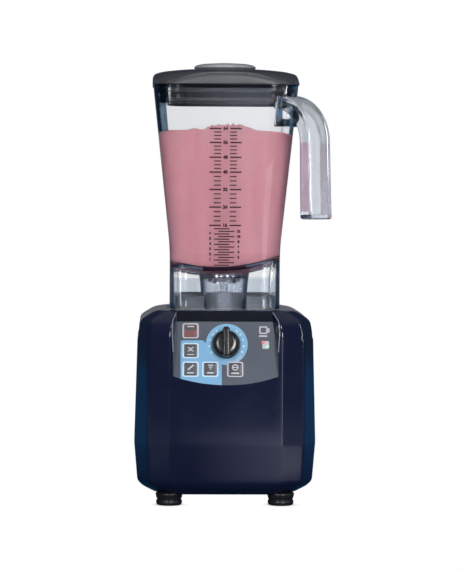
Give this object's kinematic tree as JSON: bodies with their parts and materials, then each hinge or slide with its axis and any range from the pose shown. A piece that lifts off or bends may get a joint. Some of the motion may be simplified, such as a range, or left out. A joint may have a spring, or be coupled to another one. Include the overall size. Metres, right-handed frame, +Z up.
{
  "type": "milkshake mixer",
  "caption": "Countertop milkshake mixer: motor base with sloping control panel, dial and keys, and a lift-off clear jar with corner handle, blades, lid and filler cap.",
  "frame": {"origin": "the point where the drive axis meets the plane that the four feet stand on", "axes": "+Z up along the drive axis, -Y is the front with the control panel, +X to the right seen from the front; the jar handle points to the front right corner"},
  "size_m": [0.2024, 0.2108, 0.457],
  "materials": {
    "housing_gloss": "gloss",
    "plate_black": "satin",
    "foot_rubber": "matte",
    "screw_steel": "satin",
    "panel_black": "gloss",
    "overlay_grey": "satin",
    "key_grey": "satin",
    "key_red": "satin",
    "knob_black": "satin",
    "light_lens": "gloss",
    "board_green": "satin",
    "component_black": "matte",
    "lamination_steel": "matte",
    "copper_wire": "gloss",
    "commutator_copper": "satin",
    "shaft_steel": "satin",
    "bearing_steel": "polished",
    "bracket_aluminium": "satin",
    "brush_carbon": "matte",
    "holder_brass": "satin",
    "isolator_rubber": "matte",
    "fan_nylon": "satin",
    "clutch_steel": "satin",
    "pad_rubber": "matte",
    "jar_clear": "gloss",
    "lid_dark": "satin",
    "seal_rubber": "matte",
    "cap_grey": "satin",
    "blade_steel": "satin",
    "blade_housing_steel": "satin",
    "nut_nylon": "satin"
  },
  "bodies": {
    "base": {"base_housing": "housing_gloss", "bottom_plate": "plate_black", "rubber_feet": "foot_rubber", "foot_screws": "screw_steel", "housing_screws": "screw_steel", "control_panel": "panel_black", "control_overlay": "overlay_grey", "control_board": "board_green", "tact_switches": "component_black", "dial_encoder": "component_black", "status_lights": "light_lens", "power_board": "board_green", "board_components": "component_black", "stator_core": "lamination_steel", "field_coils": "copper_wire", "motor_top_bracket": "bracket_aluminium", "motor_bottom_bracket": "bracket_aluminium", "motor_bearings": "bearing_steel", "motor_screws": "screw_steel", "rubber_isolators": "isolator_rubber", "carbon_brushes": "brush_carbon", "brush_holders": "holder_brass", "fan_shroud": "fan_nylon", "jar_pad": "pad_rubber", "jar_sensor": "component_black", "power_inlet": "component_black", "inlet_contacts": "holder_brass", "reset_breaker": "component_black"},
    "motor_rotor": {"motor_shaft": "shaft_steel", "armature_core": "lamination_steel", "armature_windings": "copper_wire", "commutator": "commutator_copper", "cooling_fan": "fan_nylon", "drive_clutch": "clutch_steel", "clutch_screw": "screw_steel", "shaft_slinger": "seal_rubber"},
    "dial": {"dial_knob": "knob_black", "dial_shaft": "shaft_steel"},
    "key_stop": {"key_stop": "key_red"},
    "key_mix": {"key_mix": "key_grey"},
    "key_program_1": {"key_program_1": "key_grey"},
    "key_program_2": {"key_program_2": "key_grey"},
    "key_pulse": {"key_pulse": "key_grey"},
    "reset_button": {"reset_button": "key_red"},
    "jar": {"jar": "jar_clear", "blade_gasket": "seal_rubber", "blade_bearing_housing": "blade_housing_steel", "blade_bearings": "bearing_steel", "blade_shaft_seal": "seal_rubber", "blade_retaining_nut": "nut_nylon"},
    "blade_unit": {"blade_shaft": "shaft_steel", "jar_clutch": "clutch_steel", "blade_spacer": "blade_housing_steel", "lower_blade": "blade_steel", "upper_blade": "blade_steel", "blade_cap_nut": "screw_steel"},
    "lid": {"lid": "lid_dark", "lid_seals": "seal_rubber"},
    "filler_cap": {"filler_cap": "cap_grey"}
  },
  "joints": [
    {"name": "motor_spin", "type": "hinge", "parent": "base", "child": "motor_rotor", "pos_m": [0, 0, 0.12], "axis": [0, 0, 1], "continuous": true},
    {"name": "dial_turn", "type": "hinge", "parent": "base", "child": "dial", "pos_m": [0, -0.08839, 0.16575], "axis": [0, -0.9703, 0.2419], "range_deg": [-135, 120]},
    {"name": "key_stop_press", "type": "slide", "parent": "base", "child": "key_stop", "axis": [0, 0.9703, -0.2419], "range_m": [0, 0.0006], "stiffness_N_per_m": 900, "springref_m": -0.0008},
    {"name": "key_mix_press", "type": "slide", "parent": "base", "child": "key_mix", "axis": [0, 0.9703, -0.2419], "range_m": [0, 0.0006], "stiffness_N_per_m": 900, "springref_m": -0.0008},
    {"name": "key_program_1_press", "type": "slide", "parent": "base", "child": "key_program_1", "axis": [0, 0.9703, -0.2419], "range_m": [0, 0.0006], "stiffness_N_per_m": 900, "springref_m": -0.0008},
    {"name": "key_program_2_press", "type": "slide", "parent": "base", "child": "key_program_2", "axis": [0, 0.9703, -0.2419], "range_m": [0, 0.0006], "stiffness_N_per_m": 900, "springref_m": -0.0008},
    {"name": "key_pulse_press", "type": "slide", "parent": "base", "child": "key_pulse", "axis": [0, 0.9703, -0.2419], "range_m": [0, 0.0006], "stiffness_N_per_m": 900, "springref_m": -0.0008},
    {"name": "reset_press", "type": "slide", "parent": "base", "child": "reset_button", "axis": [0, -1, 0], "range_m": [0, 0.002], "stiffness_N_per_m": 500, "springref_m": -0.001},
    {"name": "jar_lift", "type": "slide", "parent": "base", "child": "jar", "axis": [0, 0, 1], "range_m": [0, 0.1]},
    {"name": "blade_spin", "type": "hinge", "parent": "jar", "child": "blade_unit", "pos_m": [0, 0, 0.23], "axis": [0, 0, 1], "continuous": true},
    {"name": "lid_lift", "type": "slide", "parent": "jar", "child": "lid", "axis": [0, 0, 1], "range_m": [0, 0.06]},
    {"name": "cap_lift", "type": "slide", "parent": "lid", "child": "filler_cap", "axis": [0, 0, 1], "range_m": [0, 0.05]}
  ],
  "couplings": [
    {"joint": "blade_spin", "follows": "motor_spin", "ratio": 1}
  ]
}
